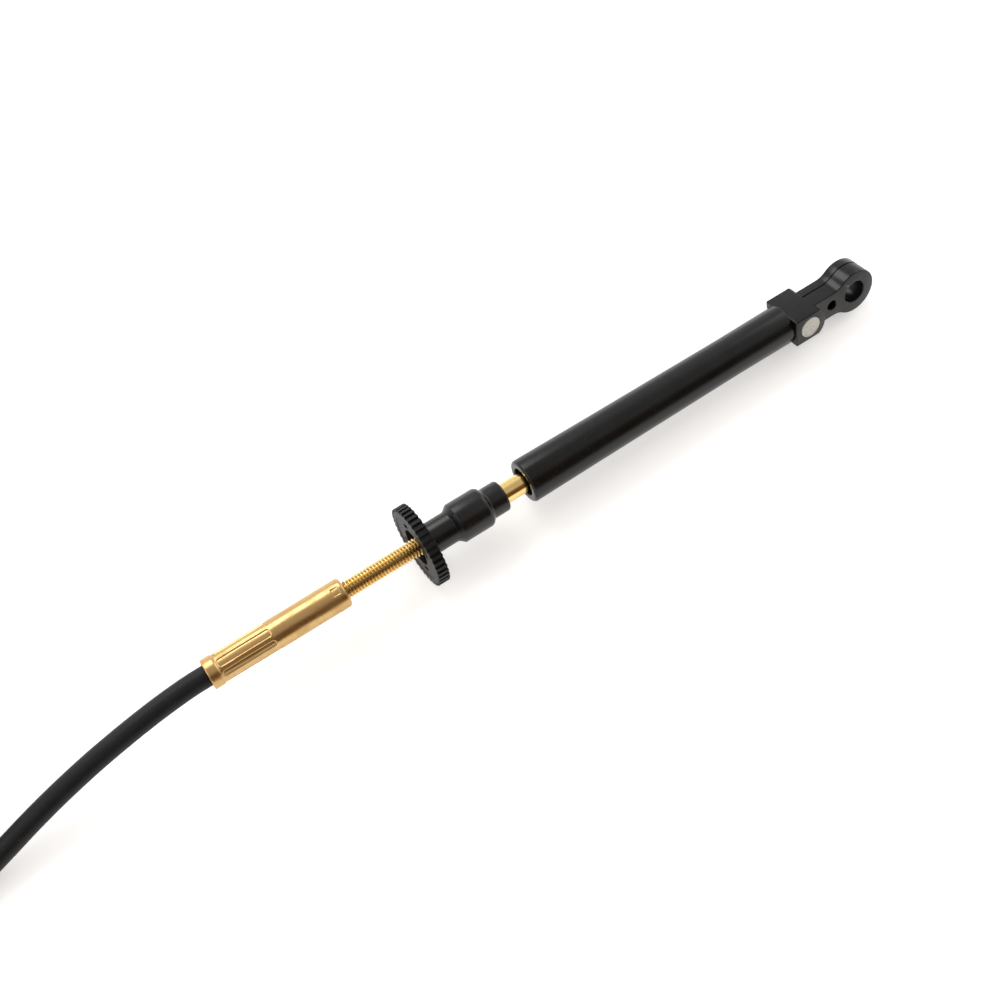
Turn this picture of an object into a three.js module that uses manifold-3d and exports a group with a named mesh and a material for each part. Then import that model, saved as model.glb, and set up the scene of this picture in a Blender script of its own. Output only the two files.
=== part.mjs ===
// Push-pull control cable for a boat's outboard: the engine end with its crimped brass hub, threaded
// adjuster and eye, the jacketed conduit, its coil, and the plain end that goes to the control box.
// Millimetres, +Z up. +X runs along the stiff end piece towards the eye. z = 0 is the floor.
import * as THREE from 'three';
import { mergeVertices } from 'three/addons/utils/BufferGeometryUtils.js';
import Module from 'manifold-3d';

const wasm = await Module();
wasm.setup();

// Clearances
const seatGap = 0.3; // between pieces that touch or slide on each other
const runningGap = 0.32; // radial room of a tube in its bore

// Conduit: black jacket over steel lay wires
const conduitRadius = 4.45;
const conduitSocketDepth = 3;

// Crimped brass hub, measured along the axis from its cable end
const hubLength = 61.8;
const hubCollarRadius = 6.48;
const hubCollarLength = 4.2;
const hubCrimpRadius = 5.9;
const hubCrimpLength = 24.8;
const hubFrontRadius = 6.3;
const hubEdgeRound = 0.6;
const hubNoseRadius = 5.3;
const hubTubeSocketDepth = 9.5;

// Threaded tube with its keyway, 5/16 inch at 18 threads to the inch
const threadRadius = 3.94;
const threadVisible = 33.3; // from the hub's face to the thumbwheel's face
const threadPastWheel = 18.9;
const keywayWidth = 1.9;
const keywayDepth = 1.0;
const keywayTurn = THREE.MathUtils.degToRad(28); // from straight up towards -Y
const tubeBoreRadius = 2.6;

// Thumbwheel: a nut with a toothed rim, and a sleeve that turns in the barrel
const wheelRadius = 17.9;
const wheelThickness = 4.9;
const toothCount = 40;
const toothDepth = 1.2;
const toothShare = 0.52; // share of each pitch that is tooth
const wheelRecessRadius = 8.1;
const wheelWebThickness = 1.5;
const wheelSleeveWall = 1.15;
const wheelSleeveLength = 8;
const wheelSlotCount = 4;
const wheelSlotRadius = 10.3;
const wheelSlotWidth = 1.7;
const wheelSlotHalfAngle = THREE.MathUtils.degToRad(11);
const wheelSlotDepth = 2.4;

// Adjuster barrel
const neckRadius = 6.8;
const neckLength = 11.8;
const bulgeRadius = 8.78;
const bulgeLength = 16.6; // with both chamfers
const bulgeRearChamfer = 2.3;
const bulgeFrontChamfer = 1.1;
const noseRadius = 6.84;
const noseLength = 8.5;
const noseRound = 1.4;
const keyLength = 2.1; // the key in the barrel's bore that rides in the keyway

// Guide tube
const guideTubeRadius = 4.43;
const guideTubeEnd = 255; // along the axis from the hub's cable end

// Casing guide: the long sleeve and its eye, one moulding
const sleeveStart = 147.4;
const sleeveLength = 136.2;
const sleeveMouthRadius = 9.65;
const sleeveMouthRound = 1.3;
const sleeveWaistRadius = 8.8;
const sleeveWaistAt = 107; // from the sleeve's mouth
const sleeveEndRadius = 9.0;
const sleeveMouthBoreRadius = 6.3;
const sleeveMouthBoreDepth = 5;
const sleeveBoreEnd = 274;
const blockHalfThickness = 6; // of the arm and eye, across the pin's direction
const cheekHalfThickness = 10;
const blockHalfWidth = 6.8;
const bossRadius = 8.3;
const armHalfWidth = 6.35;
const armFillet = 8;
const eyeRadius = 10.5;
const eyeAt = 319.5;
const eyeHoleRadius = 5.22;
const smallHoleAt = 306.8;
const smallHoleRadius = 2.32;
const fittingRoll = THREE.MathUtils.degToRad(-21); // how far the eye is rolled about the axis

// Cross pin and the core's rod
const pinAt = 291.3;
const pinRadius = 4.95;
const pinStandOut = 0.2;
const coreRodRadius = 2.1;
const coreRodStart = 160;

// Coil of the conduit that lies beside the object
const coilCentre = new THREE.Vector2(-321.9, 30.1);
const coilMidRadius = 45;
const coilTurnStep = 9.1;
const coilLayerStep = 8.95;

// Control-box end: a short hub, a tube and the push rod
const farStart = new THREE.Vector3(-380.3, 1.2, 9.5);
const farYaw = THREE.MathUtils.degToRad(150);
const farPitch = THREE.MathUtils.degToRad(2.575);
const farHubLength = 34;
const farHubRadius = 6.3;
const farHubSocketDepth = 3;
const farHubTubeSocket = 6;
const farTubeRadius = 3.95;
const farTubeEnd = 88;
const farRodRadius = 2.4;
const farRodStart = 80.5;
const farRodEnd = 158;

// Routes of the free conduit, chosen by hand
const conduitRoute = [
  [-162.6, 0, 20.45],
  [-165.3, 0, 20.52],
  [-173.3, -0.1, 20.68],
  [-184.3, -0.8, 20.6],
  [-195.2, -1.8, 20.1],
  [-206.1, -3.0, 19.2],
  [-216.9, -4.3, 17.9],
  [-227.6, -5.8, 16.1],
  [-238.2, -7.5, 14.1],
  [-248.7, -9.5, 12.0],
  [-259.1, -11.8, 9.9],
  [-269.4, -14.1, 8.0],
  [-279.7, -16.6, 6.4],
  [-290.0, -19.1, 5.2],
  [-299.8, -21.4, 4.6],
  [-309.5, -23.4, 4.47],
];
const tailRoute = [
  [-349.0, -16.8, 13.4],
  [-357.7, -11.8, 12.7],
  [-366.3, -6.8, 11.2],
  [-375.97, -1.3, 9.71],
  [-380.3, 1.2, 9.5],
  [-382.64, 2.55, 9.385],
];

// Materials
const brass = new THREE.MeshStandardMaterial({ color: 0xb98c3f, roughness: 0.34, metalness: 1 });
const thumbwheelPlastic = new THREE.MeshStandardMaterial({ color: 0x26282a, roughness: 0.55 });
const barrelPlastic = new THREE.MeshStandardMaterial({ color: 0x17191b, roughness: 0.38 });
const guidePlastic = new THREE.MeshStandardMaterial({ color: 0x121315, roughness: 0.3 });
const steel = new THREE.MeshStandardMaterial({ color: 0xb4afa8, roughness: 0.4, metalness: 1 });
const jacket = new THREE.MeshStandardMaterial({ color: 0x232527, roughness: 0.6 });

// Places along the axis
const wheelFace = hubLength + threadVisible;
const wheelBack = wheelFace + wheelThickness;
const barrelStart = wheelBack + seatGap;
const neckEnd = barrelStart + neckLength;
const bulgeEnd = neckEnd + bulgeLength;
const noseEnd = bulgeEnd + noseLength;
const threadEnd = wheelFace + threadPastWheel;
const guideTubeStart = threadEnd + seatGap;
const sleeveEnd = sleeveStart + sleeveLength;
const totalLength = eyeAt + eyeRadius;
const wheelBoreRadius = threadRadius + runningGap;
const wheelSleeveRadius = wheelBoreRadius + wheelSleeveWall;
const barrelBoreRadius = guideTubeRadius + runningGap;
const sleeveBoreRadius = guideTubeRadius + runningGap;

// The stiff end rests on the wheel's rim and the eye, which settles its tilt
function eyeDrop(angle) {
  const round = eyeRadius * Math.hypot(Math.sin(angle), Math.cos(angle) * Math.cos(fittingRoll));
  return round + blockHalfThickness * Math.sin(-fittingRoll) * Math.cos(angle);
}
let tilt = 0;
for (let step = 0; step < 20; step += 1) {
  tilt = Math.asin((wheelRadius * Math.cos(tilt) - eyeDrop(tilt)) / (eyeAt - wheelBack));
}
const axisHeight = wheelBack * Math.sin(tilt) + wheelRadius * Math.cos(tilt);

// Merges shared corners and turns the faces outwards
function closed(geometry) {
  const bare = geometry.index ? geometry.toNonIndexed() : geometry.clone();
  bare.deleteAttribute('normal');
  bare.deleteAttribute('uv');
  const merged = mergeVertices(bare, 1e-4);
  const place = merged.attributes.position;
  const corners = [];
  let volume = 0;
  const [a, b, c] = [new THREE.Vector3(), new THREE.Vector3(), new THREE.Vector3()];
  for (let i = 0; i < merged.index.count; i += 3) {
    const three = [0, 1, 2].map((k) => merged.index.getX(i + k));
    if (new Set(three).size === 3) {
      corners.push(three);
      a.fromBufferAttribute(place, three[0]);
      b.fromBufferAttribute(place, three[1]);
      c.fromBufferAttribute(place, three[2]);
      volume += a.dot(b.cross(c));
    }
  }
  const outward = volume < 0 ? corners.map(([p, q, r]) => [p, r, q]) : corners;
  merged.setIndex(outward.flat());
  return merged;
}

// Joins and cuts, on closed meshes
function toManifold(geometry) {
  const solid = closed(geometry);
  return new wasm.Manifold(new wasm.Mesh({
    numProp: 3,
    vertProperties: new Float32Array(solid.attributes.position.array),
    triVerts: new Uint32Array(solid.index.array),
  }));
}

function toGeometry(manifold) {
  const mesh = manifold.getMesh();
  const geometry = new THREE.BufferGeometry();
  geometry.setAttribute('position', new THREE.BufferAttribute(mesh.vertProperties, 3));
  geometry.setIndex(new THREE.BufferAttribute(mesh.triVerts, 1));
  return geometry;
}

function join(...geometries) {
  return toGeometry(geometries.map(toManifold).reduce((whole, piece) => whole.add(piece)));
}

function cut(geometry, ...tools) {
  return toGeometry(tools.map(toManifold).reduce((rest, tool) => rest.subtract(tool), toManifold(geometry)));
}

// A body turned about the X axis, from [place along the axis, radius] pairs
function turned(pairs, sides = 32) {
  const profile = pairs.map(([along, radius]) => new THREE.Vector2(radius, along));
  const lathe = new THREE.LatheGeometry(profile, sides);
  return lathe.rotateZ(-Math.PI / 2);
}

function ring(start, end, inner, outer, sides = 32) {
  return turned([[start, inner], [start, outer], [end, outer], [end, inner], [start, inner]], sides);
}

function rod(start, end, radius, sides = 24) {
  return turned([[start, 0], [start, radius], [end, radius], [end, 0]], sides);
}

// An outline drawn across the axis, extruded along X
function extrudedAlongX(shape, start, end, curveSegments = 12) {
  const solid = new THREE.ExtrudeGeometry(shape, { depth: end - start, bevelEnabled: false, curveSegments });
  solid.rotateY(Math.PI / 2);
  return solid.translate(start, 0, 0);
}

function box(xStart, xEnd, yStart, yEnd, zStart, zEnd) {
  const size = new THREE.BoxGeometry(xEnd - xStart, yEnd - yStart, zEnd - zStart);
  return size.translate((xStart + xEnd) / 2, (yStart + yEnd) / 2, (zStart + zEnd) / 2);
}

// A round hole or pin across the eye's plate
function across(at, radius, halfLength, sides = 28) {
  return new THREE.CylinderGeometry(radius, radius, 2 * halfLength, sides).translate(at, 0, 0);
}

function sweep(points, radius, sides = 12) {
  const section = new THREE.Shape();
  section.absarc(0, 0, radius, 0, 2 * Math.PI);
  const path = new THREE.CatmullRomCurve3(points.map((p) => new THREE.Vector3(...p)));
  const steps = Math.max(4, Math.round(path.getLength() / (5 * radius)));
  return new THREE.ExtrudeGeometry(section, {
    extrudePath: path, steps, bevelEnabled: false, curveSegments: sides / 2,
  });
}

function crimpHub() {
  const frontStart = hubCollarLength + hubCrimpLength;
  return turned([
    [conduitSocketDepth, tubeBoreRadius],
    [conduitSocketDepth, conduitRadius + seatGap],
    [0, conduitRadius + seatGap],
    [0, hubCollarRadius - hubEdgeRound],
    [hubEdgeRound, hubCollarRadius],
    [hubCollarLength - hubEdgeRound, hubCollarRadius],
    [hubCollarLength, hubCrimpRadius],
    [frontStart, hubCrimpRadius],
    [frontStart + hubEdgeRound, hubFrontRadius],
    [hubLength - 2 * hubEdgeRound, hubFrontRadius],
    [hubLength - hubEdgeRound, hubFrontRadius - hubEdgeRound],
    [hubLength, hubNoseRadius],
    [hubLength, threadRadius + runningGap],
    [hubLength - hubTubeSocketDepth, threadRadius + runningGap],
    [hubLength - hubTubeSocketDepth, tubeBoreRadius],
    [conduitSocketDepth, tubeBoreRadius],
  ]);
}

function threadedTube() {
  const start = hubLength - hubTubeSocketDepth + seatGap;
  const tube = ring(start, threadEnd, tubeBoreRadius, threadRadius);
  const groove = box(start - 1, threadEnd + 1, -keywayWidth / 2, keywayWidth / 2,
    threadRadius - keywayDepth, threadRadius + 1);
  return cut(tube, groove.rotateX(keywayTurn));
}

function guideTube() {
  return ring(guideTubeStart, guideTubeEnd, tubeBoreRadius, guideTubeRadius);
}

function gearOutline() {
  const outline = new THREE.Shape();
  const pitch = (2 * Math.PI) / toothCount;
  const half = (pitch * toothShare) / 2;
  for (let tooth = 0; tooth < toothCount; tooth += 1) {
    const middle = Math.PI + tooth * pitch;
    for (const [turn, radius] of [
      [-half, wheelRadius - toothDepth], [-half, wheelRadius],
      [half, wheelRadius], [half, wheelRadius - toothDepth],
    ]) {
      const point = [radius * Math.cos(middle + turn), radius * Math.sin(middle + turn)];
      if (tooth === 0 && turn < 0 && radius < wheelRadius) outline.moveTo(...point);
      else outline.lineTo(...point);
    }
  }
  outline.closePath();
  return outline;
}

function wheelSlot(index) {
  const middle = ((index + 0.5) * 2 * Math.PI) / wheelSlotCount;
  const slot = new THREE.Shape();
  slot.absarc(0, 0, wheelSlotRadius + wheelSlotWidth / 2,
    middle - wheelSlotHalfAngle, middle + wheelSlotHalfAngle, false);
  slot.absarc(0, 0, wheelSlotRadius - wheelSlotWidth / 2,
    middle + wheelSlotHalfAngle, middle - wheelSlotHalfAngle, true);
  slot.closePath();
  return extrudedAlongX(slot, wheelFace - 1, wheelFace + wheelSlotDepth, 4);
}

function thumbwheel() {
  const rim = extrudedAlongX(gearOutline(), wheelFace, wheelBack);
  const recess = rod(wheelFace - 1, wheelBack - wheelWebThickness, wheelRecessRadius, 32);
  const sleeve = rod(wheelBack - wheelWebThickness, wheelBack + wheelSleeveLength, wheelSleeveRadius);
  const bore = rod(wheelFace - 1, wheelBack + wheelSleeveLength + 1, wheelBoreRadius);
  const slots = Array.from({ length: wheelSlotCount }, (_, index) => wheelSlot(index));
  return cut(join(cut(rim, recess, ...slots), sleeve), bore);
}

function adjusterBarrel() {
  const nutPocketRadius = wheelSleeveRadius + runningGap;
  const nutPocketEnd = wheelBack + wheelSleeveLength + seatGap;
  const body = turned([
    [barrelStart, nutPocketRadius],
    [barrelStart, neckRadius],
    [neckEnd, neckRadius],
    [neckEnd + bulgeRearChamfer, bulgeRadius],
    [bulgeEnd - bulgeFrontChamfer, bulgeRadius],
    [bulgeEnd, noseRadius + (bulgeRadius - noseRadius) / 2],
    [bulgeEnd, noseRadius],
    [noseEnd - noseRound, noseRadius],
    [noseEnd - noseRound * 0.3, noseRadius - noseRound * 0.3],
    [noseEnd, noseRadius - noseRound],
    [noseEnd, barrelBoreRadius],
    [nutPocketEnd, barrelBoreRadius],
    [nutPocketEnd, nutPocketRadius],
    [barrelStart, nutPocketRadius],
  ]);
  const halfKey = keywayWidth / 2 - seatGap;
  const key = box(nutPocketEnd + seatGap, nutPocketEnd + seatGap + keyLength, -halfKey, halfKey,
    threadRadius - keywayDepth + seatGap, barrelBoreRadius + seatGap);
  return join(body, key.rotateX(keywayTurn));
}

// The eye's plate lies in the X-Z plane before the fitting is rolled
function armOutline() {
  const filletAcross = armHalfWidth + armFillet;
  const filletBack = Math.sqrt((eyeRadius + armFillet) ** 2 - filletAcross ** 2);
  const filletCentre = eyeAt - filletBack;
  const leave = Math.atan2(filletAcross, -filletBack);
  const outline = new THREE.Shape();
  outline.moveTo(sleeveEnd - 1, -armHalfWidth);
  outline.lineTo(filletCentre, -armHalfWidth);
  outline.absarc(filletCentre, -filletAcross, armFillet, Math.PI / 2, Math.PI - leave, true);
  outline.absarc(eyeAt, 0, eyeRadius, -leave, leave, false);
  outline.absarc(filletCentre, filletAcross, armFillet, leave - Math.PI, -Math.PI / 2, true);
  outline.lineTo(sleeveEnd - 1, armHalfWidth);
  outline.closePath();
  return outline;
}

function plate(shape, halfThickness, curveSegments = 14) {
  const solid = new THREE.ExtrudeGeometry(shape, {
    depth: 2 * halfThickness, bevelEnabled: false, curveSegments,
  });
  solid.rotateX(Math.PI / 2);
  return solid.translate(0, halfThickness, 0);
}

// The block round the pin, straight behind it and rounded in front
function blockOutline() {
  const start = sleeveEnd - seatGap;
  const leave = Math.asin(blockHalfWidth / bossRadius);
  const outline = new THREE.Shape();
  outline.moveTo(start, -blockHalfWidth);
  outline.lineTo(pinAt + bossRadius * Math.cos(leave), -blockHalfWidth);
  outline.absarc(pinAt, 0, bossRadius, -leave, leave, false);
  outline.lineTo(start, blockHalfWidth);
  outline.closePath();
  return outline;
}

function casingGuide() {
  const sleeve = turned([
    [sleeveStart, 0],
    [sleeveStart, sleeveMouthRadius - sleeveMouthRound],
    [sleeveStart + sleeveMouthRound * 0.3, sleeveMouthRadius - sleeveMouthRound * 0.3],
    [sleeveStart + sleeveMouthRound, sleeveMouthRadius],
    [sleeveStart + sleeveWaistAt / 3, sleeveMouthRadius * 0.6 + sleeveWaistRadius * 0.4],
    [sleeveStart + sleeveWaistAt, sleeveWaistRadius],
    [sleeveEnd, sleeveEndRadius],
    [sleeveEnd, 0],
  ], 36);
  const arm = plate(armOutline(), blockHalfThickness);
  const block = plate(blockOutline(), cheekHalfThickness);
  const body = join(sleeve, arm, block);
  return cut(body,
    rod(sleeveStart - 1, sleeveStart + sleeveMouthBoreDepth, sleeveMouthBoreRadius),
    rod(sleeveStart, sleeveBoreEnd, sleeveBoreRadius),
    rod(sleeveBoreEnd - 1, pinAt, coreRodRadius + seatGap),
    across(pinAt, pinRadius + seatGap, cheekHalfThickness + 1),
    across(eyeAt, eyeHoleRadius, cheekHalfThickness),
    across(smallHoleAt, smallHoleRadius, cheekHalfThickness, 16));
}

function crossPin() {
  return across(pinAt, pinRadius, cheekHalfThickness + pinStandOut);
}

function coreRod() {
  return rod(coreRodStart, pinAt - pinRadius - seatGap, coreRodRadius, 16);
}

function coilRing(clearance = 0) {
  const inner = coilMidRadius - coilTurnStep - conduitRadius - clearance;
  const outer = coilMidRadius + coilTurnStep + conduitRadius + clearance;
  const top = 2 * conduitRadius + coilLayerStep + clearance;
  const corner = conduitRadius / 2;
  const profile = [
    [inner, corner], [inner + corner, -clearance], [outer - corner, -clearance], [outer, corner],
    [outer, top - corner], [outer - corner, top], [inner + corner, top], [inner, top - corner],
    [inner, corner],
  ].map(([radius, height]) => new THREE.Vector2(radius, height));
  const solid = new THREE.LatheGeometry(profile, 56).rotateX(Math.PI / 2);
  return solid.translate(coilCentre.x, coilCentre.y, 0);
}

function freeConduit(route) {
  return cut(sweep(route, conduitRadius), coilRing(seatGap));
}

function farHub() {
  return turned([
    [farHubSocketDepth, farRodRadius + seatGap],
    [farHubSocketDepth, conduitRadius + seatGap],
    [0, conduitRadius + seatGap],
    [0, farHubRadius - hubEdgeRound],
    [hubEdgeRound, farHubRadius],
    [farHubLength - hubEdgeRound, farHubRadius],
    [farHubLength, farHubRadius - hubEdgeRound],
    [farHubLength, farTubeRadius + seatGap],
    [farHubLength - farHubTubeSocket, farTubeRadius + seatGap],
    [farHubLength - farHubTubeSocket, farRodRadius + seatGap],
    [farHubSocketDepth, farRodRadius + seatGap],
  ], 24);
}

function farTube() {
  const start = farHubLength - farHubTubeSocket + seatGap;
  return ring(start, farTubeEnd, farRodRadius + seatGap, farTubeRadius, 20);
}

function farRod() {
  return rod(farRodStart, farRodEnd, farRodRadius, 16);
}

function mesh(name, geometry, material) {
  const solid = closed(geometry);
  solid.computeVertexNormals();
  const node = new THREE.Mesh(solid, material);
  node.name = name;
  return node;
}

const cable = new THREE.Group();

const stiffEnd = new THREE.Group();
stiffEnd.position.set((-totalLength / 2) * Math.cos(tilt), 0, axisHeight);
stiffEnd.rotation.y = tilt;
stiffEnd.add(mesh('crimp_hub', crimpHub(), brass));
stiffEnd.add(mesh('threaded_tube', threadedTube(), brass));
stiffEnd.add(mesh('guide_tube', guideTube(), brass));
stiffEnd.add(mesh('thumbwheel', thumbwheel(), thumbwheelPlastic));
stiffEnd.add(mesh('adjuster_barrel', adjusterBarrel(), barrelPlastic));
stiffEnd.add(mesh('core_rod', coreRod(), steel));

const fitting = new THREE.Group();
fitting.rotation.x = fittingRoll;
fitting.add(mesh('casing_guide', casingGuide(), guidePlastic));
fitting.add(mesh('cross_pin', crossPin(), steel));
stiffEnd.add(fitting);
cable.add(stiffEnd);

cable.add(mesh('conduit', freeConduit(conduitRoute), jacket));
cable.add(mesh('conduit_coil', coilRing(), jacket));
cable.add(mesh('conduit_tail', freeConduit(tailRoute), jacket));

const farEnd = new THREE.Group();
farEnd.position.copy(farStart);
farEnd.rotation.set(0, farPitch, farYaw, 'ZYX');
farEnd.add(mesh('far_hub', farHub(), brass));
farEnd.add(mesh('far_tube', farTube(), brass));
farEnd.add(mesh('far_rod', farRod(), steel));
cable.add(farEnd);

export default cable;
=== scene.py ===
"""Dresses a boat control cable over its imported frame: the crimped brass hub, the threaded adjuster,
the casing guide with its eye, the jacketed conduit with its coil, and the control-box end."""

import math

import bmesh
import bpy
from mathutils import Matrix, Vector, noise


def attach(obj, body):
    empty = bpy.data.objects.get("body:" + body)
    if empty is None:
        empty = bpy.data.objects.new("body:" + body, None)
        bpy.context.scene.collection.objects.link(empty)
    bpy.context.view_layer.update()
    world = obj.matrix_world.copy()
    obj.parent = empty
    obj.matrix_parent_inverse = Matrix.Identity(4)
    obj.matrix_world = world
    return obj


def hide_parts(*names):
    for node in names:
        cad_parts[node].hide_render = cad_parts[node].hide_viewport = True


bl_info = {
    "name": "Boat Control Cable",
    "version": (1, 0, 0),
    "blender": (4, 5, 0),
    "location": "View3D > Sidebar > Cable",
    "description": "Builds a push-pull boat control cable over its packed frame",
    "category": "Add Mesh",
}

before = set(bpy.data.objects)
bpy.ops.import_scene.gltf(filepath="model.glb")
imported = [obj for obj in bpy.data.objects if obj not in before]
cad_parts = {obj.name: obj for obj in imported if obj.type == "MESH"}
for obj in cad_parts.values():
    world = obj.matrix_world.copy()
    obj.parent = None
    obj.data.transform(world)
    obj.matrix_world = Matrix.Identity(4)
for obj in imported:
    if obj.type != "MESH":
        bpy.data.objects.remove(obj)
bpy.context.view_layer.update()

# Where each group's own axes lie in the frame. Sizes below are millimetres on those axes.
MILLIMETRE = 0.001
STIFF_START = (-0.16494, 0, 0.0206)
STIFF_TILT = math.radians(1.5509)
STIFF_END = (
    Matrix.Translation(STIFF_START)
    @ Matrix.Rotation(STIFF_TILT, 4, "Y")
    @ Matrix.Scale(MILLIMETRE, 4)
)
EYE_ROLL = math.radians(-21)
EYE_END = STIFF_END @ Matrix.Rotation(EYE_ROLL, 4, "X")
FAR_END = (
    Matrix.Translation((-0.3803, 0.0012, 0.0095))
    @ Matrix.Rotation(math.radians(150), 4, "Z")
    @ Matrix.Rotation(math.radians(2.575), 4, "Y")
    @ Matrix.Scale(MILLIMETRE, 4)
)

# Places and sizes that several pieces share, in millimetres
PIN_AT = 291.3
PIN_RADIUS = 4.95
SMALL_HOLE_AT = 306.8
EYE_AT = 319.5
EYE_RADIUS = 10.5
ARM_HALF_THICKNESS = 6.0
SLEEVE_END = 283.6
GUIDE_TUBE_START = 114.3
GUIDE_TUBE_END = 255
THREAD_RADIUS = 3.94

# Route of the free conduit from the hub to the coil, and from the coil to the control-box end, in metres
CONDUIT_RUN = [
    (-0.1626, 0.0, 0.02045),
    (-0.1653, 0.0, 0.02052),
    (-0.1733, -0.0001, 0.02068),
    (-0.1843, -0.0008, 0.0206),
    (-0.1952, -0.0018, 0.0201),
    (-0.2061, -0.003, 0.0192),
    (-0.2169, -0.0043, 0.0179),
    (-0.2276, -0.0058, 0.0161),
    (-0.2382, -0.0075, 0.0141),
    (-0.2487, -0.0095, 0.012),
    (-0.2591, -0.0118, 0.0099),
    (-0.2694, -0.0141, 0.008),
    (-0.2797, -0.0166, 0.0064),
    (-0.29, -0.0191, 0.0052),
    (-0.2998, -0.0214, 0.0046),
]
TAIL_RUN = [
    (-0.3577, -0.0118, 0.0127),
    (-0.3663, -0.0068, 0.0112),
    (-0.37597, -0.0013, 0.00971),
    (-0.3803, 0.0012, 0.0095),
    (-0.38264, 0.00255, 0.009385),
]
COIL_CENTRE = (-0.3219, 0.0301)
COIL_START = math.radians(-76.5)
COIL_RADII = (0.0359, 0.045, 0.0541)
COIL_LAYERS = (0.00447, 0.0134)


class Value:
    """A number, vector or colour of a node tree. Arithmetic on it adds Math nodes."""

    def __init__(self, nodes, socket):
        self.nodes = nodes
        self.socket = socket

    def math(self, operation, first, second=0.0):
        return self.nodes.add("ShaderNodeMath", {"operation": operation}, {0: first, 1: second})

    def __add__(self, other):
        return self.math("ADD", self, other)

    def __sub__(self, other):
        return self.math("SUBTRACT", self, other)

    def __rsub__(self, other):
        return self.math("SUBTRACT", other, self)

    def __mul__(self, other):
        return self.math("MULTIPLY", self, other)

    __radd__ = __add__
    __rmul__ = __mul__


class Nodes:
    """The nodes of one material or of the world."""

    def __init__(self, tree):
        self.tree = tree
        tree.nodes.clear()

    def add(self, kind, settings=None, inputs=None, output=0):
        """One node: its settings first, then its sockets' values or links."""
        node = self.tree.nodes.new(kind)
        for name, setting in (settings or {}).items():
            setattr(node, name, setting)
        for name, value in (inputs or {}).items():
            if isinstance(value, Value):
                self.tree.links.new(value.socket, node.inputs[name])
            else:
                node.inputs[name].default_value = value
        return None if output is None else Value(self, node.outputs[output])

    def place(self, scale=(1, 1, 1)):
        """Where a point is on the object, stretched by scale, in metres."""
        point = self.add("ShaderNodeTexCoord", output="Object")
        return self.add("ShaderNodeMapping", {}, {"Vector": point, "Scale": scale})

    def noise(self, vector, scale, detail=3.0, roughness=0.5):
        inputs = {"Vector": vector, "Scale": scale, "Detail": detail, "Roughness": roughness}
        return self.add("ShaderNodeTexNoise", {}, inputs)

    def span(self, value, low, high, start=0.0, end=1.0):
        """value taken smoothly from low..high to start..end, and held there outside."""
        inputs = {"Value": value, "From Min": low, "From Max": high, "To Min": start, "To Max": end}
        return self.add("ShaderNodeMapRange", {"interpolation_type": "SMOOTHSTEP"}, inputs)

    def mix(self, share, first, second):
        inputs = {0: share, 6: (*first, 1) if isinstance(first, tuple) else first,
                  7: (*second, 1) if isinstance(second, tuple) else second}
        return self.add("ShaderNodeMix", {"data_type": "RGBA"}, inputs, 2)

    def bump(self, height, strength, distance):
        inputs = {"Height": height, "Strength": strength, "Distance": distance}
        return self.add("ShaderNodeBump", {}, inputs)

    def surface(self, inputs):
        shader = self.add("ShaderNodeBsdfPrincipled", {}, inputs)
        self.add("ShaderNodeOutputMaterial", {}, {"Surface": shader}, None)


def new_material(name):
    """An empty material and the nodes to fill it with."""
    material = bpy.data.materials.new(name)
    material.use_nodes = True
    return material, Nodes(material.node_tree)


def darker(colour, share):
    return tuple(channel * share for channel in colour)


def axis_distance(nodes):
    """How far a point is from the stiff end's axis, in metres."""
    point = nodes.add("ShaderNodeTexCoord", output="Object")
    parts = nodes.add("ShaderNodeSeparateXYZ", {}, {0: point}).socket.node.outputs
    along, across, height = (Value(nodes, part) for part in parts)
    height = height + (along - STIFF_START[0]) * math.tan(STIFF_TILT) - STIFF_START[2]
    return nodes.add("ShaderNodeMath", {"operation": "SQRT"}, {0: across * across + height * height})


def brass(name, colour, roughness, marks=0.05, tarnish=0.35, painted_root_shade=None):
    """Brass with turning marks round the axis, a slight tarnish and duller patches.

    The last argument holds the radius, in metres, where the painted shade in a thread's roots begins, and the
    radius where that shade is darkest.
    """
    material, nodes = new_material(name)
    turning = nodes.noise(nodes.place((4200, 90, 90)), 1.0, 2.0)
    cloud = nodes.noise(nodes.place(), 160.0, 4.0, 0.6)
    grain = nodes.noise(nodes.place(), 2600.0, 3.0, 0.6)
    patch = nodes.span(cloud, 0.42, 0.68)
    deep = (colour[0] * 0.72, colour[1] * 0.6, colour[2] * 0.45)
    base = nodes.mix(patch * tarnish, tuple(colour), deep)
    base = nodes.mix(nodes.span(turning, 0.5, 0.72) * 0.25, base, darker(colour, 0.62))
    # Painted shade: below the crest, the thread's roots and the keyway floor are painted dark brown in place
    # of the shade that falls in them.
    if painted_root_shade:
        unshaded_radius, darkest = painted_root_shade
        sunk = nodes.span(axis_distance(nodes), darkest, unshaded_radius, 0.75, 0.0)
        base = nodes.mix(sunk, base, (0.28, 0.14, 0.03))
    rough = patch * 0.1 + turning * 0.1 + grain * 0.06 + (roughness - 0.1)
    height = turning + grain * 0.5
    nodes.surface({"Base Color": base, "Metallic": 1.0, "Roughness": rough,
                   "Normal": nodes.bump(height, marks * 4, 0.00004)})
    return material


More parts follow.
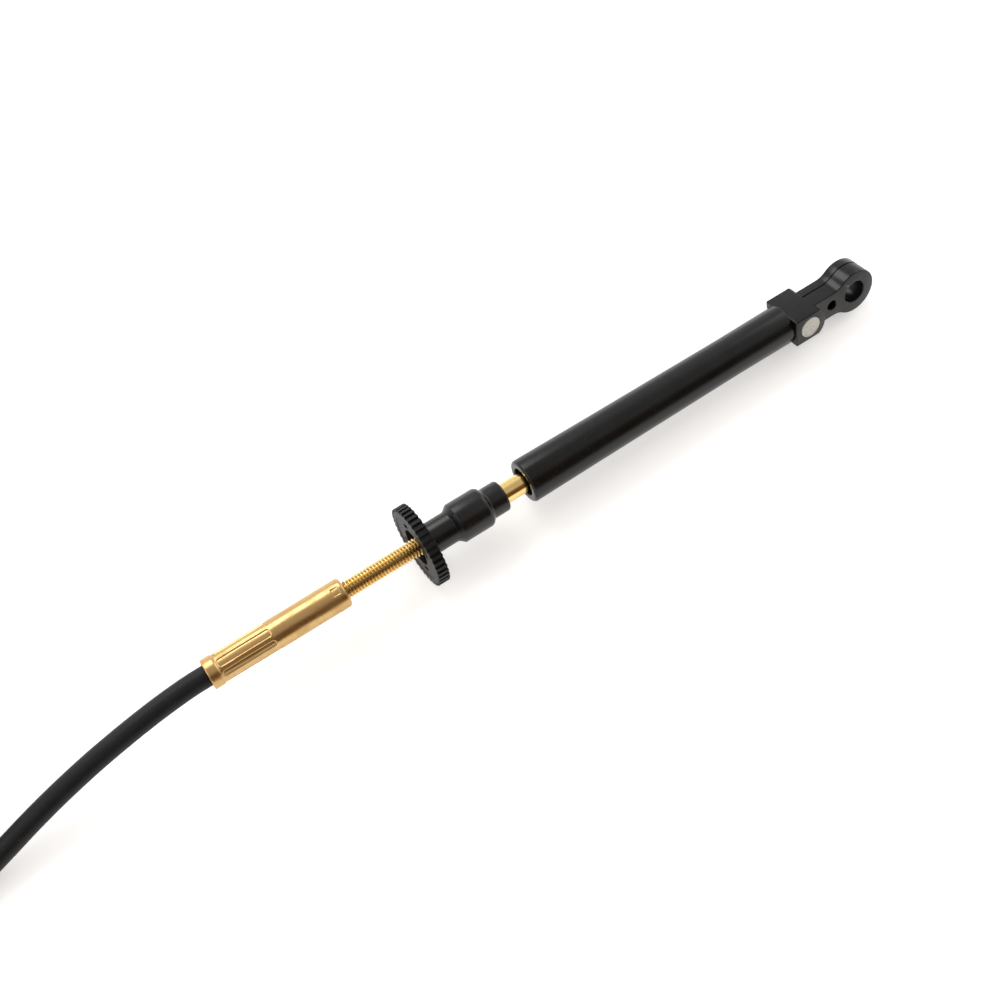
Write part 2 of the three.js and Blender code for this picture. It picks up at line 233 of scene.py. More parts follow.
def plastic(name, colour, roughness, texture=0.2, dust=0.4, shine=0.22):
    """Moulded black plastic: fine texture, faint scuffs and a few dust specks."""
    material, nodes = new_material(name)
    fine = nodes.noise(nodes.place(), 4200.0, 2.0, 0.6)
    cloud = nodes.noise(nodes.place(), 90.0, 4.0, 0.6)
    scuff = nodes.noise(nodes.place((220, 1900, 1900)), 1.0, 3.0, 0.6)
    speck = nodes.span(nodes.noise(nodes.place(), 1500.0, 1.0), 0.7, 0.78)
    worn = nodes.span(scuff, 0.62, 0.8) * nodes.span(cloud, 0.4, 0.6)
    base = nodes.mix(nodes.span(cloud, 0.35, 0.7), darker(colour, 0.8), darker(colour, 1.25))
    base = nodes.mix(worn * 0.3, base, (0.03, 0.03, 0.031))
    base = nodes.mix(speck * dust, base, (0.1, 0.1, 0.1))
    rough = fine * 0.08 + cloud * 0.1 + worn * 0.12 + (roughness - 0.09)
    nodes.surface({"Base Color": base, "Roughness": rough, "Specular IOR Level": shine,
                   "Normal": nodes.bump(fine, texture, 0.00003)})
    return material


def steel(name, colour, roughness):
    """Plated steel with a fine grain and small dull spots."""
    material, nodes = new_material(name)
    grain = nodes.noise(nodes.place(), 5200.0, 3.0, 0.7)
    cloud = nodes.noise(nodes.place(), 700.0, 4.0, 0.65)
    spot = nodes.span(cloud, 0.5, 0.7)
    base = nodes.mix(spot * 0.55, tuple(colour), darker(colour, 0.7))
    rough = spot * 0.15 + grain * 0.12 + (roughness - 0.08)
    nodes.surface({"Base Color": base, "Metallic": 0.75, "Roughness": rough,
                   "Normal": nodes.bump(grain, 0.25, 0.00004)})
    return material


def round_corners(mesh, rounds):
    """Rounds the corners of a profile. rounds holds (vertex, radius) pairs."""
    for corner, radius in rounds:
        bmesh.ops.bevel(
            mesh, geom=[corner], offset=radius, offset_type="OFFSET", segments=5,
            profile=0.5, affect="VERTICES", material=-1,
        )


def turned(profile, steps=96):
    """A body turned about the X axis. profile holds (place, radius) or (place, radius, rounding)."""
    mesh = bmesh.new()
    closed = profile[0][:2] == profile[-1][:2]
    corners = [mesh.verts.new((spot[0], 0, spot[1])) for spot in (profile[:-1] if closed else profile)]
    for pair in zip(corners, corners[1:]):
        mesh.edges.new(pair)
    if closed:
        mesh.edges.new((corners[-1], corners[0]))
    rounds = [(corner, spot[2]) for corner, spot in zip(corners, profile) if len(spot) == 3]
    round_corners(mesh, rounds)
    bmesh.ops.spin(
        mesh, geom=mesh.verts[:] + mesh.edges[:], cent=(0, 0, 0), axis=(1, 0, 0), dvec=(0, 0, 0),
        angle=math.tau, steps=steps, use_merge=True,
    )
    bmesh.ops.remove_doubles(mesh, verts=mesh.verts, dist=0.0004)
    bmesh.ops.recalc_face_normals(mesh, faces=mesh.faces)
    return mesh


def threaded(start, end, crest, depth, pitch, steps, facing=0.0):
    """A right-hand thread along X, its first column turned by facing towards -Y, with closed ends.

    form holds (share of the pitch, share of the depth below the crest).
    """
    mesh = bmesh.new()
    turns = math.ceil((end - start) / pitch) + 2
    form = [(0.0, 0.97), (0.11, 1.0), (0.22, 0.97), (0.5, 0.1), (0.555, 0.0), (0.665, 0.0), (0.72, 0.1)]
    corners = [
        mesh.verts.new((start + (turn - 1 + share) * pitch, 0, crest - depth * down))
        for turn in range(turns)
        for share, down in form
    ]
    for pair in zip(corners, corners[1:]):
        mesh.edges.new(pair)
    bmesh.ops.rotate(mesh, verts=mesh.verts, cent=(0, 0, 0), matrix=Matrix.Rotation(facing, 3, "X"))
    bmesh.ops.spin(
        mesh, geom=mesh.verts[:] + mesh.edges[:], cent=(0, 0, 0), axis=(1, 0, 0),
        dvec=(pitch / steps, 0, 0), angle=math.tau, steps=steps, use_merge=False,
    )
    bmesh.ops.remove_doubles(mesh, verts=mesh.verts, dist=0.002)
    for place, way in ((start, -1), (end, 1)):
        cut = bmesh.ops.bisect_plane(
            mesh, geom=mesh.verts[:] + mesh.edges[:] + mesh.faces[:], dist=0.0001,
            plane_co=(place, 0, 0), plane_no=(way, 0, 0), clear_outer=True,
        )
        rim = [edge for edge in cut["geom_cut"] if isinstance(edge, bmesh.types.BMEdge)]
        bmesh.ops.edgeloop_fill(mesh, edges=rim)
    bmesh.ops.recalc_face_normals(mesh, faces=mesh.faces)
    return mesh


def cut_keyway(mesh, facing, half_width, floor, steps):
    """Presses a flat-bottomed groove into the seven columns of a thread that face it."""
    towards = Vector((0, -math.sin(facing), math.cos(facing)))
    side = Vector((0, math.cos(facing), math.sin(facing)))
    for vert in mesh.verts:
        up, across = vert.co.dot(towards), vert.co.dot(side)
        column = round(math.atan2(across, up) / math.tau * steps)
        if abs(column) > 3:
            continue
        if abs(column) == 3:
            up = math.sqrt(up ** 2 + across ** 2 - half_width ** 2)
            across = math.copysign(half_width, across)
        else:
            up = min(up, floor)
            across = half_width * 0.49 * column
        vert.co = Vector((vert.co.x, 0, 0)) + towards * up + side * across


def smooth_step(value):
    value = min(1.0, max(0.0, value))
    return value * value * (3 - 2 * value)


def slot_distance(along, across, half_length, half_width, corner):
    """How far a point lies outside a slot with rounded corners, negative inside it."""
    past = Vector((max(abs(along) - half_length + corner, 0), max(abs(across) - half_width + corner, 0)))
    inner = min(max(abs(along) - half_length, abs(across) - half_width) + corner, 0)
    return past.length + inner - corner


def add_piece(name, mesh, place, body, nodes, material, bevel=0.0, sharp=32.0):
    """Turns a mesh in millimetres into a finished piece that rides on a body."""
    mesh.transform(place)
    data = bpy.data.meshes.new(name)
    mesh.to_mesh(data)
    mesh.free()
    data.shade_smooth()
    data.set_sharp_from_angle(angle=math.radians(sharp))
    data.materials.append(material)
    piece = bpy.data.objects.new(name, data)
    bpy.context.scene.collection.objects.link(piece)
    if bevel:
        edge = piece.modifiers.new("edges", "BEVEL")
        edge.width = bevel * MILLIMETRE
        edge.segments = 2
        edge.limit_method = "ANGLE"
        edge.angle_limit = math.radians(38)
        edge.harden_normals = True
    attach(piece, body)
    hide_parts(*nodes)
    return piece


def combine(base, others, operation):
    """Joins or cuts closed meshes with a Boolean modifier and returns the result as a mesh."""
    made = []
    for number, mesh in enumerate([base, *others]):
        bmesh.ops.recalc_face_normals(mesh, faces=mesh.faces)
        data = bpy.data.meshes.new(f"combine_{number}")
        mesh.to_mesh(data)
        mesh.free()
        part = bpy.data.objects.new(f"combine_{number}", data)
        bpy.context.scene.collection.objects.link(part)
        made.append(part)
    for part in made[1:]:
        step = made[0].modifiers.new(operation, "BOOLEAN")
        step.operation = operation
        step.solver = "EXACT"
        step.object = part
    graph = bpy.context.evaluated_depsgraph_get()
    result = bmesh.new()
    result.from_object(made[0], graph)
    for part in made:
        data = part.data
        bpy.data.objects.remove(part)
        bpy.data.meshes.remove(data)
    if not result.faces:
        raise RuntimeError(f"{operation} left nothing")
    return result


class CableSizes(bpy.types.PropertyGroup):
    """Sizes that a user may change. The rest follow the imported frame."""

    conduit_diameter: bpy.props.FloatProperty(
        name="Conduit diameter", description="Outside of the conduit's jacket",
        default=0.0089, min=0.004, max=0.02, precision=4, subtype="DISTANCE", unit="LENGTH",
    )
    thread_pitch: bpy.props.FloatProperty(
        name="Thread pitch", description="Distance from one thread to the next",
        default=0.001411, min=0.0008, max=0.003, precision=5, subtype="DISTANCE", unit="LENGTH",
    )
    thread_depth: bpy.props.FloatProperty(
        name="Thread depth", description="Height of the thread from root to crest",
        default=0.00078, min=0.0002, max=0.001, precision=5, subtype="DISTANCE", unit="LENGTH",
    )
    flute_depth: bpy.props.FloatProperty(
        name="Flute depth", description="How deep the crimping die pressed the hub's flutes",
        default=0.00034, min=0.0, max=0.0008, precision=5, subtype="DISTANCE", unit="LENGTH",
    )


class CableFinish(bpy.types.PropertyGroup):
    """Colours of the metals and plastics."""

    hub_brass: bpy.props.FloatVectorProperty(
        name="Hub brass", description="Colour of the crimped hub's brass",
        default=(0.61, 0.4, 0.17), min=0, max=1, size=3, subtype="COLOR",
    )
    thread_brass: bpy.props.FloatVectorProperty(
        name="Thread brass", description="Colour of the rolled thread's and guide tube's brass",
        default=(0.9, 0.66, 0.27), min=0, max=1, size=3, subtype="COLOR",
    )
    moulding: bpy.props.FloatVectorProperty(
        name="Moulding", description="Colour of the moulded black parts",
        default=(0.0042, 0.0043, 0.0046), min=0, max=1, size=3, subtype="COLOR",
    )
    jacket: bpy.props.FloatVectorProperty(
        name="Jacket", description="Colour of the conduit's jacket",
        default=(0.0085, 0.009, 0.01), min=0, max=1, size=3, subtype="COLOR",
    )
    plating: bpy.props.FloatVectorProperty(
        name="Plating", description="Colour of the plated steel",
        default=(0.46, 0.44, 0.4), min=0, max=1, size=3, subtype="COLOR",
    )


class CABLE_OT_add_camera(bpy.types.Operator):
    """Sets the camera that looks down on the stiff end from its conduit side"""

    bl_idname = "cable.add_camera"
    bl_label = "Camera"

    def execute(self, context):
        lens = bpy.data.cameras.new("camera")
        lens.lens = 50.4
        lens.sensor_width = 36
        lens.clip_start = 0.01
        camera = bpy.data.objects.new("camera", lens)
        camera.location = (-0.15497, -0.18556, 0.5422)
        camera.rotation_euler = (math.radians(22.97), 0, math.radians(-34.17))
        context.scene.collection.objects.link(camera)
        context.scene.camera = camera
        return {"FINISHED"}


class CABLE_OT_add_far_end(bpy.types.Operator):
    """Builds the control-box end: its hub, tube and push rod"""

    bl_idname = "cable.add_far_end"
    bl_label = "Control-Box End"

    def execute(self, context):
        finish = context.scene.cable_finish
        hub = turned([
            (3, 2.7), (3, 4.6), (0, 4.75, 0.1), (0, 6.3, 0.6), (4.2, 6.3, 0.3), (4.8, 5.95, 0.3),
            (22, 5.95, 0.3), (22.8, 6.3, 0.3), (34, 6.3, 0.8), (34, 4.3, 0.3), (28, 4.25), (28, 2.7),
            (3, 2.7),
        ], 96)
        add_piece("far_hub_crimped", hub, FAR_END, "cable", ["far_hub"],
                  brass("far_hub_brass", finish.hub_brass, 0.3, 0.08))
        tube = turned([(28.3, 2.7), (28.3, 3.95), (88, 3.95, 0.5), (88, 2.7, 0.2), (28.3, 2.7)], 64)
        add_piece("far_tube_drawn", tube, FAR_END, "cable", ["far_tube"],
                  brass("far_tube_brass", finish.thread_brass, 0.2, 0.03))
        rod = turned([(80.5, 0), (80.5, 2.4, 0.3), (131.6, 2.4, 0.3), (132.2, 2.0), (134, 2.0), (134, 0)], 48)
        tip, chamfer = 158.0, 0.8
        end = threaded(132.4, tip, 2.4, 0.4, 0.794, 32)
        for vert in end.verts:
            vert.co.yz *= 1 - 0.175 * smooth_step((vert.co.x - tip) / chamfer + 1)
        data = bpy.data.meshes.new("rod_end")
        end.to_mesh(data)
        end.free()
        rod.from_mesh(data)
        bpy.data.meshes.remove(data)
        add_piece("far_push_rod_end", rod, FAR_END, "far_push_rod", ["far_rod"],
                  steel("far_rod_steel", finish.plating, 0.3))
        return {"FINISHED"}


def coil_points():
    """The conduit's line in its coil, clockwise from above: three turns below, two on top.

    shifts holds (start, end, radius before, radius after, height before, height after), in degrees
    and metres.
    """
    inner, middle, outer = COIL_RADII
    low, high = COIL_LAYERS
    step = math.radians(7.5)
    shifts = [
        (0, 60, 0.05495, outer, low, low),
        (240, 360, outer, middle, low, low),
        (600, 720, middle, inner, low, low),
        (870, 960, inner, inner, low, high),
        (1124, 1230, inner, middle, high, high),
        (1484, 1590, middle, outer, high, high),
    ]
    whole_turns, last_turn = 5, 43.5
    total = math.radians(whole_turns * 360 + last_turn)
    count = round(total / step)
    points = []
    for number in range(count + 1):
        gone = total * number / count
        degrees = math.degrees(gone)
        radius, height = shifts[0][2], low
        for start, end, radius_from, radius_to, height_from, height_to in shifts:
            if degrees >= start:
                share = smooth_step((degrees - start) / (end - start))
                radius = radius_from + (radius_to - radius_from) * share
                height = height_from + (height_to - height_from) * share
        turn = COIL_START - gone
        points.append((
            COIL_CENTRE[0] + radius * math.cos(turn), COIL_CENTRE[1] + radius * math.sin(turn), height,
        ))
    return points


def spline_through(points, spacing):
    """Points at about that spacing on a smooth line through the given ones."""
    points = [Vector(point) for point in points]
    ends = [points[0] * 2 - points[1], *points, points[-1] * 2 - points[-2]]
    line = [points[0]]
    for before, start, end, after in zip(ends, ends[1:], ends[2:], ends[3:]):
        parts = max(1, round((end - start).length / spacing))
        for number in range(1, parts + 1):
            t = number / parts
            line.append(0.5 * (
                2 * start + (end - before) * t + (2 * before - 5 * start + 4 * end - after) * t ** 2
                + (3 * start - before - 3 * end + after) * t ** 3
            ))
    return line


class CABLE_OT_add_conduit(bpy.types.Operator):
    """Lays the jacketed conduit from the hub through its coil to the control-box end"""

    bl_idname = "cable.add_conduit"
    bl_label = "Conduit"

    def execute(self, context):
        sizes = context.scene.cable_sizes
        line = spline_through([*CONDUIT_RUN, *coil_points(), *TAIL_RUN], 0.003)
        length = sum((end - start).length for start, end in zip(line, line[1:]))
        curve = bpy.data.curves.new("conduit_line", "CURVE")
        curve.dimensions = "3D"
        curve.bevel_depth = sizes.conduit_diameter / 2
        curve.bevel_resolution = 6
        curve.use_fill_caps = True
        spline = curve.splines.new("POLY")
        spline.points.add(len(line) - 1)
        for point, spot in zip(spline.points, line):
            point.co = (*spot, 1)
        spline.use_smooth = True
        conduit = bpy.data.objects.new("conduit_jacketed", curve)
        context.scene.collection.objects.link(conduit)
        curve.materials.append(plastic("jacket", context.scene.cable_finish.jacket, 0.5, 0.5, 0.3))
        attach(conduit, "cable")
        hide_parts("conduit", "conduit_coil", "conduit_tail")
        return {"FINISHED"}


def hub_radius(along):
    """Outside of the hub before its flutes are pressed in, at a place along the axis."""
    radius = 6.48 - 0.44 * smooth_step((along - 4.0) / 1.2)
    radius += 0.08 * smooth_step((along - 6) / 22)
    radius += 0.2 * smooth_step((along - 28.2) / 1.6)
    return radius + 0.06 * smooth_step((along - 32) / 24)


class CABLE_OT_add_hub(bpy.types.Operator):
    """Builds the brass hub with its crimped flutes and staked dimples"""

    bl_idname = "cable.add_hub"
    bl_label = "Crimped Hub"

    def execute(self, context):
        depth = context.scene.cable_sizes.flute_depth / MILLIMETRE
        places = [4.0 + 0.2 * number for number in range(12)]
        places += [6.8 + 0.7 * number for number in range(29)]
        places += [27.0 + 0.2 * number for number in range(17)]
        places += [31.2 + 1.4 * number for number in range(18)]
        places += [56.0 + 0.18 * number for number in range(22)]
        skin = [(along, hub_radius(along)) for along in places]
        hub = turned([
            (3, 2.6), (3, 4.6), (0.4, 4.62), (0, 4.95, 0.15), (0, 6.48, 0.55), *skin,
            (60.4, hub_radius(60.4)), (61.8, 6.36, 1.15), (61.8, 5.35, 0.35), (61.0, 4.5), (60.6, 4.3),
            (52.3, 4.26), (52.3, 2.6), (3, 2.6),
        ], 256)
        first_flute, flute_step = 3.3, 45
        flute_middle, flute_half, stake_start, stake_half, edge = 16.9, 11.6, 56.4, 1.55, 0.3
        for vert in hub.verts:
            radius = math.hypot(vert.co.y, vert.co.z)
            if radius < 5.6 or not 4.4 < vert.co.x < 60.6:
                continue
            turn = math.degrees(math.atan2(-vert.co.y, vert.co.z)) - first_flute
            number = round(turn / flute_step)
            wide = number % 2 == 0
            across = math.radians(turn - flute_step * number) * radius
            half_width = 1.75 if wide else 1.2
            flute = slot_distance(vert.co.x - flute_middle, across, flute_half, half_width,
                                  min(half_width, 1.1))
            pressed = depth * smooth_step(0.5 - flute / edge)
            if wide:
                into = vert.co.x - stake_start
                stake = slot_distance(into - 1.5, across, stake_half, 1.7, 0.25)
                pressed += (0.5 - 0.11 * into) * smooth_step(0.5 - stake / edge)
            raised = 0.05 * math.exp(-((flute - 0.25) / 0.18) ** 2)
            wander = 0.035 * noise.noise(Vector((vert.co.x * 0.12, vert.co.y * 0.5, vert.co.z * 0.5)))
            vert.co.yz *= (radius - pressed + raised + wander) / radius
        add_piece("hub_crimped", hub, STIFF_END, "cable", ["crimp_hub"],
                  brass("hub_brass_satin", context.scene.cable_finish.hub_brass, 0.3, 0.1), sharp=50)
        return {"FINISHED"}


class CABLE_OT_add_tubes(bpy.types.Operator):
    """Builds the threaded tube with its keyway, and the drawn guide tube"""

    bl_idname = "cable.add_tubes"
    bl_label = "Threaded And Guide Tubes"

    def execute(self, context):
        sizes = context.scene.cable_sizes
        finish = context.scene.cable_finish
        facing, columns, bore, outside = math.radians(28), 64, 2.6, 4.43
        pitch, depth = sizes.thread_pitch / MILLIMETRE, sizes.thread_depth / MILLIMETRE
        thread = threaded(52.7, GUIDE_TUBE_START - 0.3, THREAD_RADIUS, depth, pitch, columns, facing)
        cut_keyway(thread, facing, 0.8, 3.22, columns)
        # The thread's roots get painted shade below a radius of 3.8 mm, darkest at 3.1 mm.
        bright = brass("thread_brass_bright", finish.thread_brass, 0.2, 0.02, 0.2, (0.0038, 0.0031))
        add_piece("thread_rolled", thread, STIFF_END, "cable", ["threaded_tube"], bright,
                  sharp=40)
        tube = turned([
            (GUIDE_TUBE_START, bore), (GUIDE_TUBE_START, outside), (GUIDE_TUBE_END, outside, 0.5),
            (GUIDE_TUBE_END, bore, 0.3), (GUIDE_TUBE_START, bore),
        ], 96)
        add_piece("guide_tube_drawn", tube, STIFF_END, "cable", ["guide_tube"],
                  brass("guide_tube_polished", finish.thread_brass, 0.14, 0.02, 0.2))
        return {"FINISHED"}


class CABLE_OT_add_adjuster(bpy.types.Operator):
    """Builds the toothed thumbwheel and the adjuster barrel"""

    bl_idname = "cable.add_adjuster"
    bl_label = "Thumbwheel And Barrel"

    def execute(self, context):
        colour = context.scene.cable_finish.moulding
        self.add_thumbwheel(darker(colour, 1.9))
        barrel = turned([
            (100.3, 5.73), (100.3, 6.8, 0.4), (111.9, 6.8, 0.7), (114.3, 8.78, 0.22), (127.9, 8.78, 1.3),
            (128.9, 7.3, 0.4), (129.6, 6.84, 0.4), (137.2, 6.84, 1.2), (137.2, 5.1, 0.3), (136.6, 4.75),
            (108.3, 4.75), (108.3, 5.73), (100.3, 5.73),
        ], 128)
        add_piece("barrel_moulded", barrel, STIFF_END, "barrel", ["adjuster_barrel"],
                  plastic("barrel_plastic_satin", colour, 0.26, 0.12, 0.25, 0.4))
        return {"FINISHED"}

    def add_thumbwheel(self, colour):
        columns, pitch, rim, root, web_face, slot_depth = 160, 9.0, 17.9, 16.7, 95.4, 2.2
        wheel = turned([
            (98.5, 4.26), (98.5, 8.1), (web_face, 8.1), (web_face, 9.45), (web_face, 11.15),
            (web_face, 14.3), (95.1, 14.6), (95.1, rim), (100, rim), (100, 14.6), (100, 5.41), (108, 5.41),
            (108, 4.26), (98.5, 4.26),
        ], columns)
        for vert in wheel.verts:
            radius = math.hypot(vert.co.y, vert.co.z)
            if radius < root:
                continue
            column = round(math.degrees(math.atan2(vert.co.y, vert.co.z)) / (360 / columns)) % columns
            tooth, part = divmod(column, 4)
            turn = math.radians(pitch * tooth + (-2.3, 2.3, 2.5, 6.5)[part])
            radius = rim if part < 2 else root
            vert.co.y, vert.co.z = radius * math.sin(turn), radius * math.cos(turn)
        slots = []
        for face in wheel.faces:
            middle = face.calc_center_median()
            radius = math.hypot(middle.y, middle.z)
            turn = math.degrees(math.atan2(middle.y, middle.z)) % 90
            if abs(middle.x - web_face) < 0.01 and 9.5 < radius < 11.1 and abs(turn - 45) < 11.5:
                slots.append(face)
        sunk = bmesh.ops.extrude_face_region(wheel, geom=slots)["geom"]
        floor = [item for item in sunk if isinstance(item, bmesh.types.BMVert)]
        bmesh.ops.translate(wheel, verts=floor, vec=(slot_depth, 0, 0))
        bmesh.ops.delete(wheel, geom=slots, context="FACES")
        bmesh.ops.recalc_face_normals(wheel, faces=wheel.faces)
        add_piece("thumbwheel_toothed", wheel, STIFF_END, "wheel", ["thumbwheel"],
                  plastic("thumbwheel_plastic_matt", colour, 0.48, 0.35, 0.5), bevel=0.13)


def arm_and_eye():
    """The flat arm and eye, with the parting groove round its edge. Plate in X-Z, thickness along Y."""
    half, fillet, start, near = 6.35, 8.0, 281.0, -ARM_HALF_THICKNESS
    back = math.sqrt((EYE_RADIUS + fillet) ** 2 - (half + fillet) ** 2)
    leave = math.atan2(half + fillet, -back)
    plate = bmesh.new()
    first = plate.verts.new((start, near, -half))
    joint = plate.verts.new((EYE_AT - back, near, -half))
    plate.edges.new((first, joint))
    bend = math.pi - leave

    def sweep(vert, centre, angle, steps):
        made = bmesh.ops.spin(
            plate, geom=[vert], cent=(centre[0], near, centre[1]), axis=(0, -1, 0), dvec=(0, 0, 0),
            angle=angle, steps=steps, use_merge=False,
        )["geom_last"]
        return next(item for item in made if isinstance(item, bmesh.types.BMVert))

    corner = math.pi / 2 - bend
    joint = sweep(joint, (EYE_AT - back, -half - fillet), -corner, 8)
    joint = sweep(joint, (EYE_AT, 0), 2 * leave, 56)
    joint = sweep(joint, (EYE_AT - back, half + fillet), -corner, 8)
    last = plate.verts.new((start, near, half))
    plate.edges.new((joint, last))
    plate.edges.new((last, first))
    bmesh.ops.remove_doubles(plate, verts=plate.verts, dist=0.001)
    face = bmesh.ops.contextual_create(plate, geom=plate.edges[:])["faces"]
    groove = []
    for number, thickness in enumerate((7.0, 0.75, 4.25)):
        known = set(plate.faces)
        made = bmesh.ops.extrude_face_region(plate, geom=face)["geom"]
        moved = [item for item in made if isinstance(item, bmesh.types.BMVert)]
        bmesh.ops.translate(plate, verts=moved, vec=(0, thickness, 0))
        if number:
            bmesh.ops.delete(plate, geom=face, context="FACES_ONLY")
        face = [item for item in made if isinstance(item, bmesh.types.BMFace)]
        if number == 1:
            groove = [item for item in plate.faces if item not in known and item not in face]
    bmesh.ops.recalc_face_normals(plate, faces=plate.faces)
    bmesh.ops.inset_region(plate, faces=groove, thickness=0.0, depth=-0.4, use_even_offset=True)
    rims = [edge for edge in plate.edges
            if all(abs(abs(vert.co.y) - ARM_HALF_THICKNESS) < 0.001 for vert in edge.verts)]
    bmesh.ops.bevel(plate, geom=rims, offset=0.45, offset_type="OFFSET", segments=3, profile=0.5,
                    affect="EDGES", material=-1)
    return plate


def pin_block():
    """The block round the pin: straight behind it, rounded in front. Outline in X-Z, thickness along Y."""
    half_width, half_thickness, boss = 6.8, 10.0, 8.3
    leave = math.asin(half_width / boss)
    turns = [leave * (number / 14 - 1) for number in range(29)]
    outline = [(SLEEVE_END, -half_width)]
    outline += [(PIN_AT + boss * math.cos(turn), boss * math.sin(turn)) for turn in turns]
    outline.append((SLEEVE_END, half_width))
    block = bmesh.new()
    block.faces.new([block.verts.new((along, -half_thickness, across)) for along, across in outline])
    made = bmesh.ops.extrude_face_region(block, geom=block.faces[:])["geom"]
    moved = [item for item in made if isinstance(item, bmesh.types.BMVert)]
    bmesh.ops.translate(block, verts=moved, vec=(0, 2 * half_thickness, 0))
    bmesh.ops.recalc_face_normals(block, faces=block.faces)
    crisp = [edge for edge in block.edges if edge.calc_face_angle(0) > 1.0]
    bmesh.ops.bevel(block, geom=crisp, offset=0.45, offset_type="OFFSET", segments=3, profile=0.5,
                    affect="EDGES", material=-1)
    return block


def drill(place, radius, half_length, face=ARM_HALF_THICKNESS, flare=0.35, steps=48):
    """A round cutter across the plate, flared where it meets the faces."""
    tool = turned([
        (-half_length, 0), (-half_length, radius + flare + half_length - face),
        (-face, radius + flare), (-face + flare, radius), (face - flare, radius), (face, radius + flare),
        (half_length, radius + flare + half_length - face), (half_length, 0),
    ], steps)
    bmesh.ops.rotate(tool, verts=tool.verts, cent=(0, 0, 0), matrix=Matrix.Rotation(math.pi / 2, 3, "Z"))
    bmesh.ops.translate(tool, verts=tool.verts, vec=(place, 0, 0))
    return tool


class CABLE_OT_add_casing_guide(bpy.types.Operator):
    """Builds the casing guide: its sleeve, pin block, arm and eye, with the pin across it"""

    bl_idname = "cable.add_casing_guide"
    bl_label = "Casing Guide"

    def execute(self, context):
        finish = context.scene.cable_finish
        head = combine(arm_and_eye(), [pin_block()], "UNION")
        holes = [
            drill(EYE_AT, 5.22, 9),
            drill(SMALL_HOLE_AT, 2.32, 9),
            drill(PIN_AT, PIN_RADIUS + 0.1, 11, 10.0, 0.12),
        ]
        head = combine(head, holes, "DIFFERENCE")
        sleeve = turned([
            (274, 2.4), (274, 4.75), (152.4, 4.75), (152.4, 6.3), (147.4, 6.3, 0.5), (147.4, 9.65, 1.3),
            (183.1, 9.31), (254.4, 8.8), (SLEEVE_END, 9.0, 0.5), (SLEEVE_END, 2.4), (274, 2.4),
        ], 144)
        data = bpy.data.meshes.new("sleeve")
        sleeve.to_mesh(data)
        sleeve.free()
        head.from_mesh(data)
        bpy.data.meshes.remove(data)
        add_piece("casing_guide_moulded", head, EYE_END, "eye_end", ["casing_guide"],
                  plastic("guide_plastic_satin", finish.moulding, 0.24, 0.1, 0.2, 0.32), sharp=30)
        pin = turned([
            (-10.1, 0), (-10.1, 4.3, 0.1), (-10.2, 4.45, 0.1), (-10.2, PIN_RADIUS, 0.25),
            (10.2, PIN_RADIUS, 0.25), (10.2, 4.45, 0.1), (10.1, 4.3, 0.1), (10.1, 0),
        ], 72)
        across = Matrix.Translation((PIN_AT, 0, 0)) @ Matrix.Rotation(math.pi / 2, 4, "Z")
        add_piece("cross_pin_plated", pin, EYE_END @ across, "eye_end", ["cross_pin"],
                  steel("pin_plated", finish.plating, 0.42))
        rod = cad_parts["core_rod"]
        rod.data.materials.clear()
        rod.data.materials.append(steel("core_rod_ground", finish.plating, 0.3))
        return {"FINISHED"}


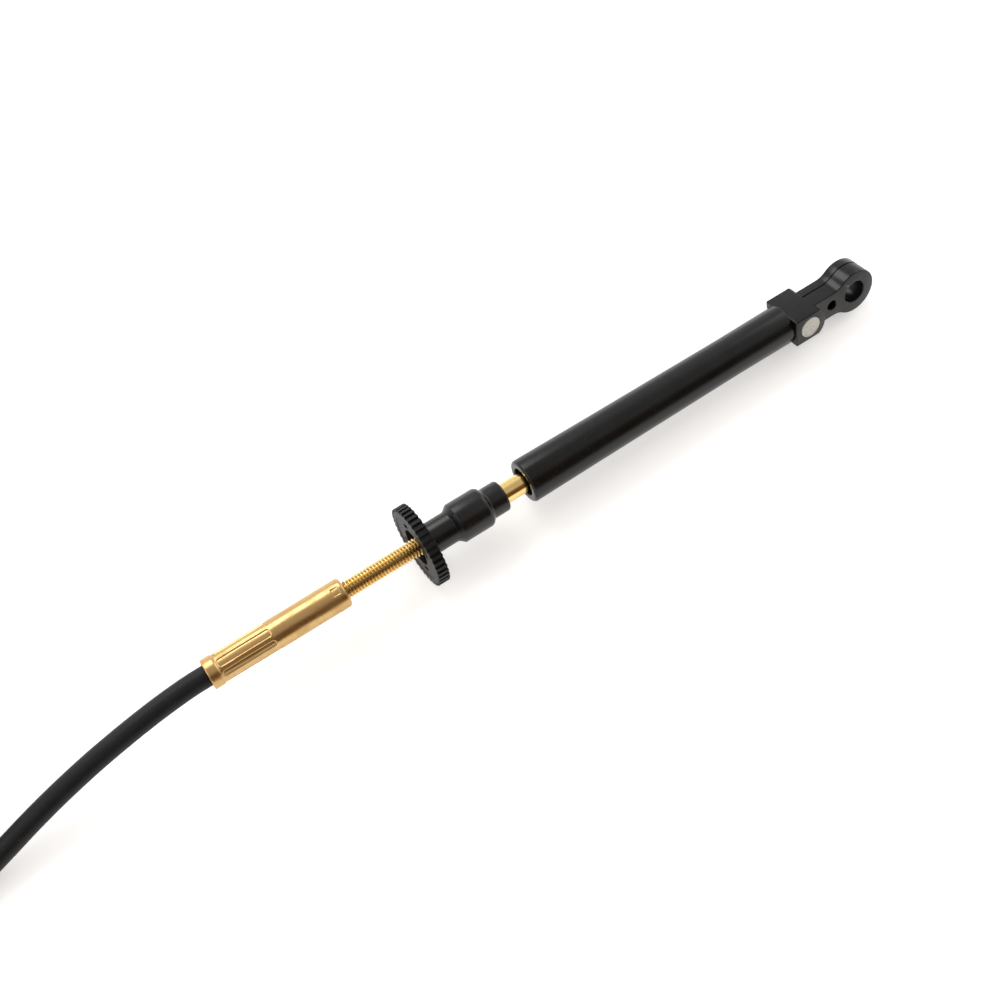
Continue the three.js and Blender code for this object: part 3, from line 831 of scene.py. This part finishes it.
class CABLE_OT_add_stage(bpy.types.Operator):
    """Adds the white floor, the soft lights and the studio around them"""

    bl_idname = "cable.add_stage"
    bl_label = "Floor And Lights"

    def execute(self, context):
        ground = bmesh.new()
        bmesh.ops.create_grid(ground, x_segments=1, y_segments=1, size=4)
        bmesh.ops.translate(ground, verts=ground.verts, vec=(0, 0, -0.0001))
        data = bpy.data.meshes.new("floor")
        ground.to_mesh(data)
        ground.free()
        floor = bpy.data.objects.new("floor", data)
        context.scene.collection.objects.link(floor)
        material, nodes = new_material("floor_paper")
        soft = nodes.noise(nodes.place(), 3.0, 2.0)
        nodes.surface({
            "Base Color": nodes.mix(soft, (0.9, 0.9, 0.9), (0.91, 0.908, 0.905)), "Roughness": 0.9,
            "Specular IOR Level": 0.1, "Emission Color": (1, 0.995, 0.985, 1), "Emission Strength": 0.44,
        })
        data.materials.append(material)
        self.add_light("key", (-0.2, 1.6, 1.5), 1.2, 18.0, (1.0, 0.99, 0.975))
        self.add_light("fill", (1.6, 0.5, 1.1), 1.2, 6.0, (0.98, 0.99, 1.0))
        self.add_light("rim", (-1.8, 0.3, 1.0), 1.0, 6.0, (1.0, 1.0, 1.0))
        self.light_world(context.scene)
        context.scene.view_settings.view_transform = "Standard"
        return {"FINISHED"}

    def add_light(self, name, location, size, power, colour):
        lamp = bpy.data.lights.new(name, "AREA")
        lamp.shape = "SQUARE"
        lamp.size = size
        lamp.energy = power
        lamp.color = colour
        light = bpy.data.objects.new(name, lamp)
        light.location = location
        aim = Vector((0, 0, 0)) - light.location
        light.rotation_euler = aim.to_track_quat("-Z", "Y").to_euler()
        bpy.context.scene.collection.objects.link(light)

    def light_world(self, scene):
        """A pale studio, dim overhead and darker behind the camera, for the metals to reflect."""
        world = bpy.data.worlds.new("studio")
        world.use_nodes = True
        scene.world = world
        nodes = Nodes(world.node_tree)
        way = nodes.add("ShaderNodeTexCoord", output="Generated")
        parts = nodes.add("ShaderNodeSeparateXYZ", {}, {0: way}).socket.node.outputs
        front, height = Value(nodes, parts[1]), Value(nodes, parts[2])
        overhead = nodes.span(height, 0.6, 0.97)
        behind = nodes.span(front, -0.3, -0.7) * nodes.span(height, 0.02, 0.2)
        level = (0.95 - overhead * 0.45) * (1.0 - behind * 0.98)
        colour = nodes.mix(level, (0.13, 0.065, 0.015), (1.0, 1.0, 1.0))
        sky = nodes.add("ShaderNodeBackground", {}, {"Color": colour, "Strength": 1.0})
        nodes.add("ShaderNodeOutputWorld", {}, {"Surface": sky}, None)


STEPS = (
    CABLE_OT_add_camera,
    CABLE_OT_add_far_end,
    CABLE_OT_add_conduit,
    CABLE_OT_add_hub,
    CABLE_OT_add_tubes,
    CABLE_OT_add_adjuster,
    CABLE_OT_add_casing_guide,
    CABLE_OT_add_stage,
)


class CABLE_PT_panel(bpy.types.Panel):
    """Lists the cable's pieces in the order they are built"""

    bl_idname = "CABLE_PT_panel"
    bl_label = "Boat Control Cable"
    bl_space_type = "VIEW_3D"
    bl_region_type = "UI"
    bl_category = "Cable"

    def draw(self, context):
        for group in (context.scene.cable_sizes, context.scene.cable_finish):
            column = self.layout.column()
            for name in group.__annotations__:
                column.prop(group, name)
        for step in STEPS:
            self.layout.operator(step.bl_idname)


CLASSES = (CableSizes, CableFinish, *STEPS, CABLE_PT_panel)


def register():
    for each in CLASSES:
        bpy.utils.register_class(each)
    bpy.types.Scene.cable_sizes = bpy.props.PointerProperty(type=CableSizes)
    bpy.types.Scene.cable_finish = bpy.props.PointerProperty(type=CableFinish)


def unregister():
    del bpy.types.Scene.cable_finish
    del bpy.types.Scene.cable_sizes
    for each in reversed(CLASSES):
        bpy.utils.unregister_class(each)


def main():
    register()
    for step in STEPS:
        group, name = step.bl_idname.split(".")
        getattr(getattr(bpy.ops, group), name)()


if __name__ == "__main__":
    main()
